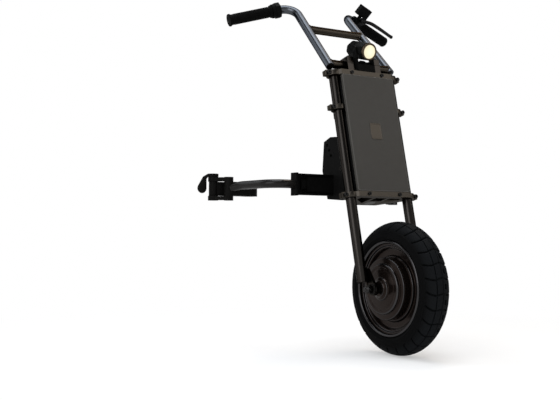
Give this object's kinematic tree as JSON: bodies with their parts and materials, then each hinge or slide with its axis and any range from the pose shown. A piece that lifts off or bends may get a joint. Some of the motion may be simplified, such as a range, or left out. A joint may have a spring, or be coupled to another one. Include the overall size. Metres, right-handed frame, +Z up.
{
  "type": "wheelchair power assist",
  "caption": "Front drive unit for a manual wheelchair: hub motor wheel in a twin tube fork with a flat battery, handlebar with throttle and brake, and docking arms with clamps.",
  "frame": {"origin": "centre of the bounding box at the tyre's lowest point", "axes": "+Z up, -Y towards the front wheel, +X towards the rider's left"},
  "size_m": [0.6838, 0.564, 0.9313],
  "materials": {
    "tyre_rubber": "matte",
    "hub_metal": "gloss dark brown anodised",
    "magnet": "plated",
    "bearing_steel": "ground",
    "winding": "enamelled",
    "axle_steel": "bright",
    "dark_steel": "blackened",
    "black_screws": "black",
    "bronze_plate": "satin dark bronze anodised",
    "bronze_tube": "gloss dark bronze anodised",
    "bar_chrome": "black gloss",
    "brace_metal": "satin dark bronze",
    "black_alloy": "matte black",
    "arm_tube": "gloss dark",
    "dock_alloy": "satin black",
    "panel": "satin grey brown",
    "case_plastic": "matte black",
    "cell_wrap": "shrink sleeve",
    "board": "solder mask",
    "controller_alloy": "cast",
    "control_plastic": "matte black",
    "lamp_black": "matte black",
    "lever_alloy": "satin black",
    "grip_rubber": "matte",
    "screen": "gloss",
    "key_grey": "matte",
    "key_red": "gloss",
    "lens": "clear"
  },
  "bodies": {
    "dock": {"head_tube": "black_alloy", "headset_bearings": "bearing_steel", "head_block": "black_alloy", "side_plate_right": "black_alloy", "side_plate_left": "black_alloy", "cross_beam": "black_alloy", "beam_end_caps": "black_alloy", "dock_bolts": "dark_steel", "dock_arm_right": "arm_tube", "dock_arm_left": "arm_tube", "dock_saddle_right": "dock_alloy", "dock_saddle_left": "dock_alloy"},
    "steering": {"axle": "axle_steel", "axle_nuts": "dark_steel", "stator": "winding", "dropout_right": "bronze_plate", "dropout_left": "bronze_plate", "fork_tube_right": "bronze_tube", "fork_tube_left": "bronze_tube", "lower_yoke": "bronze_plate", "middle_yoke": "bronze_plate", "top_yoke": "bronze_plate", "pinch_bolts": "black_screws", "socket_screws": "black_screws", "steerer": "axle_steel", "battery_case": "case_plastic", "battery_cover": "panel", "battery_cells": "cell_wrap", "battery_board": "board", "motor_controller": "controller_alloy", "charge_socket": "control_plastic", "handlebar_cross_tube": "bar_chrome", "handlebar_right": "bar_chrome", "handlebar_left": "bar_chrome", "handlebar_brace": "brace_metal", "riser_blocks": "black_alloy", "riser_caps": "black_alloy", "throttle_housing": "control_plastic", "left_grip": "grip_rubber", "brake_perch": "control_plastic", "display_case": "control_plastic", "display_screen": "screen", "lamp_bracket": "black_alloy"},
    "wheel": {"tyre": "tyre_rubber", "hub_shell": "hub_metal", "hub_covers": "hub_metal", "magnet_ring": "magnet", "hub_bearings": "bearing_steel"},
    "throttle": {"throttle_grip": "grip_rubber"},
    "brake": {"brake_lever": "lever_alloy"},
    "lamp": {"lamp_body": "lamp_black", "lamp_lens": "lens"},
    "display_key": {"display_button": "key_grey"},
    "power_key": {"power_button": "key_red"},
    "clamp_right": {"locking_jaw_right": "dock_alloy", "clamp_lever_right": "dock_alloy"},
    "clamp_left": {"locking_jaw_left": "dock_alloy", "clamp_lever_left": "dock_alloy"}
  },
  "joints": [
    {"name": "steer_turn", "type": "hinge", "parent": "dock", "child": "steering", "pos_m": [0, -0.06219, 0.14569], "axis": [0, 0.2328, 0.9725], "range_deg": [-45, 45]},
    {"name": "wheel_spin", "type": "hinge", "parent": "steering", "child": "wheel", "pos_m": [0, -0.122, 0.16], "axis": [1, 0, 0], "continuous": true},
    {"name": "throttle_twist", "type": "hinge", "parent": "steering", "child": "throttle", "pos_m": [-0.1214, 0.23073, 0.88601], "axis": [-0.9382, 0.2185, -0.2685], "range_deg": [0, 60], "stiffness_Nm_per_rad": 0.3},
    {"name": "brake_squeeze", "type": "hinge", "parent": "steering", "child": "brake", "pos_m": [0.13855, 0.2029, 0.8823], "axis": [0.2672, 0.0362, 0.963], "range_deg": [0, 11], "stiffness_Nm_per_rad": 2},
    {"name": "lamp_tilt", "type": "hinge", "parent": "steering", "child": "lamp", "pos_m": [0, 0.02432, 0.75632], "axis": [1, 0, 0], "range_deg": [-15, 15]},
    {"name": "display_press", "type": "slide", "parent": "steering", "child": "display_key", "axis": [0.0089, -0.7907, -0.6121], "range_m": [0, 0.001], "stiffness_N_per_m": 400},
    {"name": "power_press", "type": "slide", "parent": "steering", "child": "power_key", "axis": [0, -0.9725, 0.2328], "range_m": [0, 0.0012], "stiffness_N_per_m": 500},
    {"name": "right_clamp_swing", "type": "hinge", "parent": "dock", "child": "clamp_right", "pos_m": [-0.297, 0.268, 0.404], "axis": [0, 0, 1], "range_deg": [0, 85]},
    {"name": "left_clamp_swing", "type": "hinge", "parent": "dock", "child": "clamp_left", "pos_m": [0.297, 0.268, 0.404], "axis": [0, 0, -1], "range_deg": [0, 85]}
  ]
}
